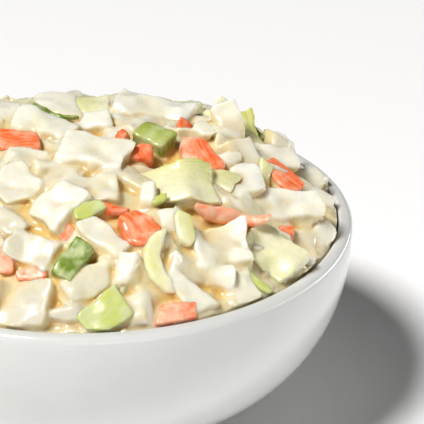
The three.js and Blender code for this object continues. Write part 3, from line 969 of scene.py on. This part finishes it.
# painted shade: the darker ochre tones of the cabbage in crevices and broad hollows
CABBAGE_GAP_SHADE = ((0.76, 0.55, 0.24), (0.71, 0.46, 0.12))
DRESSING = ((0.66, 0.56, 0.33), (0.69, 0.62, 0.44))
DRESSING_BY_CARROT = (0.95, 0.52, 0.32)
DRESSING_BY_LEAF = (0.68, 0.72, 0.32)
LEAF = ((0.75, 0.73, 0.51), (0.66, 0.65, 0.27))
LEAF_EDGE = (0.44, 0.48, 0.07)
# painted shade: the darker tones of the pale leaf in crevices and broad hollows
LEAF_GAP_SHADE = ((0.78, 0.68, 0.26), (0.74, 0.56, 0.14))
CARROT = ((0.89, 0.15, 0.04), (0.93, 0.33, 0.15))
CARROT_FILM = (0.88, 0.55, 0.38)
# painted shade: the darker tones of the carrot in crevices and broad hollows
CARROT_GAP_SHADE = ((0.85, 0.17, 0.03), (0.75, 0.22, 0.03))
PEPPER = ((0.56, 0.60, 0.15), (0.14, 0.22, 0.015))
PEPPER_STREAK = (0.42, 0.50, 0.17)
PEPPER_FILM = (0.57, 0.60, 0.33)
# painted shade: the darker tones of the green pepper in crevices and broad hollows
PEPPER_GAP_SHADE = ((0.40, 0.42, 0.05), (0.36, 0.32, 0.04))
STAGE_TONE = ((0.95, 0.95, 0.95), (0.96, 0.96, 0.96))

NOISE_SPAN = (0.3, 0.7)  # where nearly all of a noise's values lie
# painted shade: the ranges of crowding over which gap_shade paints its darker tones, and how
# strongly
NARROW_GAPS = (0.52, 0.70, 0.0, 0.85)  # from and to how crowded, then from and to what share
BROAD_GAPS = (0.57, 0.74, 0.0, 0.9)
# painted light: the heights, leaning to the right, over which the cabbage turns from its darker
# tone to its lighter one
PAINTED_LIGHT_LEAN = 0.4  # each step to the right counts as this much of a step up
PAINTED_LIGHT_FROM = 48
PAINTED_LIGHT_TO = 64
WET_ROUGHNESS = (0.22, 0.42)
COAT_ROUGHNESS = 0.08
GLAZE_IOR = 1.5
FOOD_IOR = 1.4
STAGE_ROUGHNESS = 0.8
COLOUR_MIX_INPUTS = (0, 6, 7)  # the mixing node's share and its two colours
COLOUR_MIX_OUTPUT = 2


def new_material(name):
    material = bpy.data.materials.new(name)
    material.use_nodes = True
    tree = material.node_tree
    tree.nodes.clear()
    shader = tree.nodes.new("ShaderNodeBsdfPrincipled")
    output = tree.nodes.new("ShaderNodeOutputMaterial")
    tree.links.new(shader.outputs["BSDF"], output.inputs["Surface"])
    return material, tree, shader


def feed(node, values):
    """Sets a node's inputs, or joins them to the sockets given."""
    for name, value in values.items():
        socket = node.inputs[name]
        if isinstance(value, bpy.types.NodeSocket):
            node.id_data.links.new(value, socket)
        else:
            socket.default_value = (*value, 1) if socket.type == "RGBA" else value


def attribute(tree, name):
    node = tree.nodes.new("ShaderNodeAttribute")
    node.attribute_name = name
    return node.outputs["Fac"]


def object_place(tree):
    return tree.nodes.new("ShaderNodeTexCoord").outputs["Object"]


def noise(tree, size, detail):
    """Noise with bumps about `size` millimetres across, in object space."""
    node = tree.nodes.new("ShaderNodeTexNoise")
    feed(node, {"Scale": 1 / (size * MM), "Detail": detail, "Vector": object_place(tree)})
    return node.outputs["Fac"]


def fibre(tree, stretch, size):
    """Streaks that run along each piece, from the piece's own directions."""
    place = tree.nodes.new("ShaderNodeCombineXYZ")
    along = reckon(tree, "MULTIPLY", attribute(tree, "run"), 1 / stretch)
    feed(place, {"X": along, "Y": attribute(tree, "grain")})
    node = tree.nodes.new("ShaderNodeTexNoise")
    feed(node, {"Scale": 1 / size, "Detail": 2, "Vector": place.outputs["Vector"]})
    return node.outputs["Fac"]


def ramped(tree, value, low, high, to_low=0.0, to_high=1.0):
    """A value eased from one range into another, and held at its ends."""
    node = tree.nodes.new("ShaderNodeMapRange")
    node.interpolation_type = "SMOOTHSTEP"
    feed(node, {"Value": value, "From Min": low, "From Max": high})
    feed(node, {"To Min": to_low, "To Max": to_high})
    return node.outputs["Result"]


def spread(tree, value, to_low=0.0, to_high=1.0):
    """Stretches a noise over the whole of a range."""
    return ramped(tree, value, *NOISE_SPAN, to_low, to_high)


def reckon(tree, operation, a, b):
    node = tree.nodes.new("ShaderNodeMath")
    node.operation = operation
    feed(node, {0: a, 1: b})
    return node.outputs["Value"]


def mixed(tree, share, a, b):
    node = tree.nodes.new("ShaderNodeMix")
    node.data_type = "RGBA"
    feed(node, dict(zip(COLOUR_MIX_INPUTS, (share, a, b))))
    return node.outputs[COLOUR_MIX_OUTPUT]


def plus_share(tree, a, b, share):
    return reckon(tree, "ADD", a, reckon(tree, "MULTIPLY", b, share))


def finish_look(tree, shader, tone, rough, height, bump):
    """Joins tone, roughness and relief to the shader; bump is strength, then depth in mm."""
    relief = tree.nodes.new("ShaderNodeBump")
    feed(relief, {"Strength": bump[0], "Distance": bump[1] * MM, "Height": height})
    feed(shader, {"Base Color": tone, "Roughness": rough, "Normal": relief.outputs["Normal"]})


def let_light_in(shader, weight, radius, scale, ior):
    """Radius is how far each colour goes in, as a share of the scale in millimetres."""
    feed(shader, {"Subsurface Weight": weight, "Subsurface Radius": radius, "IOR": ior})
    feed(shader, {"Subsurface Scale": scale * MM})


def wet_food(shader, weight, radius, scale, coat):
    let_light_in(shader, weight, radius, scale, FOOD_IOR)
    feed(shader, {"Coat Weight": coat, "Coat Roughness": COAT_ROUGHNESS})


def porcelain():
    material, tree, shader = new_material("porcelain_glaze")
    tone = mixed(tree, spread(tree, noise(tree, 14, 2)), *GLAZE)
    rough = spread(tree, noise(tree, 6, 3), 0.1, 0.16)
    finish_look(tree, shader, tone, rough, noise(tree, 9, 1), (0.15, 0.25))
    let_light_in(shader, 0.1, (1.0, 0.9, 0.8), 1.5, GLAZE_IOR)
    return material


def gap_shade(tree, tone, crevice, deep):
    """Paints shade: turns a tone towards a darker, warmer one where neighbours crowd in, near by
    and further off.
    """
    narrow = ramped(tree, attribute(tree, "cavity"), *NARROW_GAPS)
    broad = ramped(tree, attribute(tree, "hollow"), *BROAD_GAPS)
    return mixed(tree, broad, mixed(tree, narrow, tone, crevice), deep)


def painted_light_share(tree):
    """Share of painted light: 0 low on the left, which is painted darker, and 1 on the tops and to
    the right, which are painted lighter.
    """
    split = tree.nodes.new("ShaderNodeSeparateXYZ")
    feed(split, {"Vector": object_place(tree)})
    height = plus_share(tree, split.outputs["Z"], split.outputs["X"], PAINTED_LIGHT_LEAN)
    return ramped(tree, height, PAINTED_LIGHT_FROM * MM, PAINTED_LIGHT_TO * MM)


def cabbage_look():
    """Translucent white cabbage, and the cream dressing that lies between and on the pieces."""
    material, tree, shader = new_material("dressed_cabbage")
    warm = attribute(tree, "warm")
    low = mixed(tree, warm, *CABBAGE_SHADED_LOW)
    high = mixed(tree, warm, *CABBAGE_LIT_HIGH)
    # painted light: lighter on the tops and to the right, darker low on the left
    tone = mixed(tree, painted_light_share(tree), low, high)
    # painted shade in broad hollows
    valley_shade = ramped(tree, attribute(tree, "hollow"), 0.44, 0.62)
    tone = mixed(tree, valley_shade, tone, CABBAGE_VALLEY_SHADE)
    green = plus_share(tree, attribute(tree, "green"), noise(tree, 2.6, 2), 0.5)
    tone = mixed(tree, ramped(tree, green, 0.25, 0.9), tone, CABBAGE_GREEN)
    broad = ramped(tree, noise(tree, 9, 1), 0.45, 0.75, 0.0, 0.4)
    tone = mixed(tree, broad, tone, CABBAGE_CREAM)
    # painted shade down the sides of each piece
    side = ramped(tree, attribute(tree, "side"), 0.12, 0.8)
    tone = mixed(tree, side, tone, mixed(tree, warm, *CABBAGE_SIDE_SHADE))
    tone = mixed(tree, attribute(tree, "dressed"), tone, dressing_tone(tree))
    # painted shade in the gaps between pieces
    tone = gap_shade(tree, tone, *CABBAGE_GAP_SHADE)
    rough = spread(tree, noise(tree, 1.6, 3), *WET_ROUGHNESS)
    height = plus_share(tree, noise(tree, 1.4, 1), noise(tree, 0.6, 1), 0.4)
    finish_look(tree, shader, tone, rough, height, (0.25, 0.15))
    wet_food(shader, 1.0, (1.0, 0.88, 0.64), 2.0, 0.3)
    return material


def dressing_tone(tree):
    """Cream, tinted by the carrot and leaf that it lies on."""
    tone = mixed(tree, spread(tree, noise(tree, 4, 2)), *DRESSING)
    orange = reckon(tree, "MULTIPLY", attribute(tree, "orange"), 0.35)
    tone = mixed(tree, orange, tone, DRESSING_BY_CARROT)
    green = ramped(tree, attribute(tree, "green"), 0.25, 1.0, 0.0, 0.4)
    return mixed(tree, green, tone, DRESSING_BY_LEAF)


def leaf_look():
    """Pale where the leaf is thick, greener along its streaks and towards one edge."""
    material, tree, shader = new_material("pale_leaf")
    streaks = fibre(tree, 8, 0.9)
    green = plus_share(tree, attribute(tree, "green"), streaks, 0.7)
    tone = mixed(tree, ramped(tree, green, 0.45, 1.1), *LEAF)
    tone = mixed(tree, ramped(tree, green, 0.85, 1.25), tone, LEAF_EDGE)
    # painted shade in the gaps between pieces
    tone = gap_shade(tree, tone, *LEAF_GAP_SHADE)
    rough = spread(tree, noise(tree, 1.6, 3), *WET_ROUGHNESS)
    height = plus_share(tree, noise(tree, 1.1, 3), streaks, 0.8)
    finish_look(tree, shader, tone, rough, height, (0.3, 0.25))
    wet_food(shader, 0.9, (0.95, 0.85, 0.3), 1.6, 0.2)
    return material


def filmed(tree, tone, film, patch_size):
    """Leaves a film of dressing in patches over a coloured piece."""
    patches = spread(tree, noise(tree, patch_size, 2))
    coat = plus_share(tree, attribute(tree, "coat"), patches, 0.5)
    return mixed(tree, ramped(tree, coat, 0.3, 1.05), tone, film)


def carrot_look():
    material, tree, shader = new_material("diced_carrot")
    grain = fibre(tree, 4, 0.8)
    tone = mixed(tree, ramped(tree, grain, 0.35, 0.7), *CARROT)
    tone = filmed(tree, tone, CARROT_FILM, 2.6)
    # painted shade in the gaps between pieces
    tone = gap_shade(tree, tone, *CARROT_GAP_SHADE)
    finish_look(tree, shader, tone, spread(tree, grain, 0.25, 0.42), grain, (0.4, 0.3))
    wet_food(shader, 0.7, (1.0, 0.55, 0.35), 0.9, 0.18)
    return material


def pepper_look():
    """Skin-green on the cut sides, paler on the broad faces, filmed with dressing."""
    material, tree, shader = new_material("green_pepper")
    grain = fibre(tree, 3, 1.2)
    side = ramped(tree, attribute(tree, "side"), 0.1, 0.6)
    deep = ramped(tree, plus_share(tree, attribute(tree, "green"), side, 0.35), 0.35, 1.15)
    tone = mixed(tree, deep, *PEPPER)
    tone = mixed(tree, ramped(tree, grain, 0.4, 0.85), tone, PEPPER_STREAK)
    tone = filmed(tree, tone, PEPPER_FILM, 3.0)
    # painted shade in the gaps between pieces
    tone = gap_shade(tree, tone, *PEPPER_GAP_SHADE)
    finish_look(tree, shader, tone, spread(tree, grain, 0.2, 0.38), grain, (0.2, 0.2))
    wet_food(shader, 0.5, (0.7, 0.8, 0.35), 0.8, 0.18)
    return material


SLAW = (
    ("cabbage", "slaw", cabbage_look),
    ("pale_leaf", "slaw", leaf_look),
    ("carrot", "carrot", carrot_look),
    ("green_pepper", "pepper", pepper_look),
)


# -------- camera, floor, light --------
VIEW_ELEVATION = math.radians(25.44)
VIEW_DISTANCE = 600
AIM_RIGHT = 26.89
AIM_UP = 0.6
FOCAL_PIXELS = 2753.5
PHOTO_WIDTH = 424
SENSOR = 36
NEAREST_SHOWN = 0.01
FARTHEST_SHOWN = 10
STAGE_RADIUS = 3
STAGE_SIDES = 96
WORLD_STRENGTH = 0.02
# name, where it shines from, distance, width and height, power, colour, in metres and watts
LIGHTS = (
    ("key", (-0.48, -0.40, 1), 2.5, (0.7, 0.7), 80, (1, 0.99, 0.975)),
    ("front_card", (0.35, -1, 0.1), 0.8, (0.9, 0.16), 1.3, (1, 1, 1)),
    ("side_card", (0.9, 0.25, 0.04), 0.6, (0.9, 0.08), 2.0, (1, 1, 1)),
)


def make_camera():
    back = Vector((0, -math.cos(VIEW_ELEVATION), math.sin(VIEW_ELEVATION)))
    up = Vector((0, math.sin(VIEW_ELEVATION), math.cos(VIEW_ELEVATION)))
    aim = Vector((AIM_RIGHT, 0, LIP)) + up * AIM_UP
    data = bpy.data.cameras.new("photo_view")
    data.sensor_width = SENSOR
    data.lens = FOCAL_PIXELS / PHOTO_WIDTH * SENSOR
    data.clip_start = NEAREST_SHOWN
    data.clip_end = FARTHEST_SHOWN
    camera = linked("photo_view", data)
    camera.location = (aim + back * VIEW_DISTANCE) * MM
    camera.rotation_euler = back.to_track_quat("Z", "Y").to_euler()
    bpy.context.scene.camera = camera


def area_light(name, towards, distance, size, power, colour):
    data = bpy.data.lights.new(name, "AREA")
    data.shape = "ELLIPSE"
    data.size, data.size_y = size
    data.energy = power
    data.color = colour
    light = linked(name, data)
    direction = Vector(towards).normalized()
    light.location = direction * distance
    light.rotation_euler = direction.to_track_quat("Z", "Y").to_euler()


def make_stage():
    bpy.ops.mesh.primitive_circle_add(
        vertices=STAGE_SIDES, radius=STAGE_RADIUS, fill_type="NGON"
    )
    floor = bpy.context.object
    floor.name = "floor"
    material, tree, shader = new_material("pale_floor")
    tone = mixed(tree, spread(tree, noise(tree, 400, 1)), *STAGE_TONE)
    feed(shader, {"Base Color": tone, "Roughness": STAGE_ROUGHNESS})
    floor.data.materials.append(material)


def light_scene():
    world = bpy.data.worlds.new("studio")
    world.use_nodes = True
    background = world.node_tree.nodes["Background"]
    background.inputs["Color"].default_value = (1, 1, 1, 1)
    background.inputs["Strength"].default_value = WORLD_STRENGTH
    bpy.context.scene.world = world
    for light in LIGHTS:
        area_light(*light)
    bpy.context.scene.view_settings.view_transform = "Standard"


# -------- build --------
def dress(piece, slot, *nodes):
    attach(piece, "root")
    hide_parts(*nodes)


def paint_grids(field):
    """One grid for each thing that the looks read; two say how crowded a place is."""
    filled = filled_share(np.minimum.reduce(list(field.kinds.values())))
    grids = {name: blurred(grid, PAINT_BLUR) for name, grid in field.paints.items()}
    # these two crowding grids say where shade is painted into gaps and hollows
    grids["cavity"] = blurred(filled, CAVITY_BLUR)
    grids["hollow"] = blurred(filled, HOLLOW_BLUR)
    return grids


def make_slaw():
    field = fill_heap()
    paints = paint_grids(field)
    for family, slot, look in SLAW:
        piece = kind_mesh(field, family, look())
        paint(piece, field, paints)
        if family == "cabbage":
            close_below(piece)
        dress(piece, slot, "coleslaw")


make_camera()
make_stage()
light_scene()
dress(make_bowl(), "porcelain", "bowl")
make_slaw()
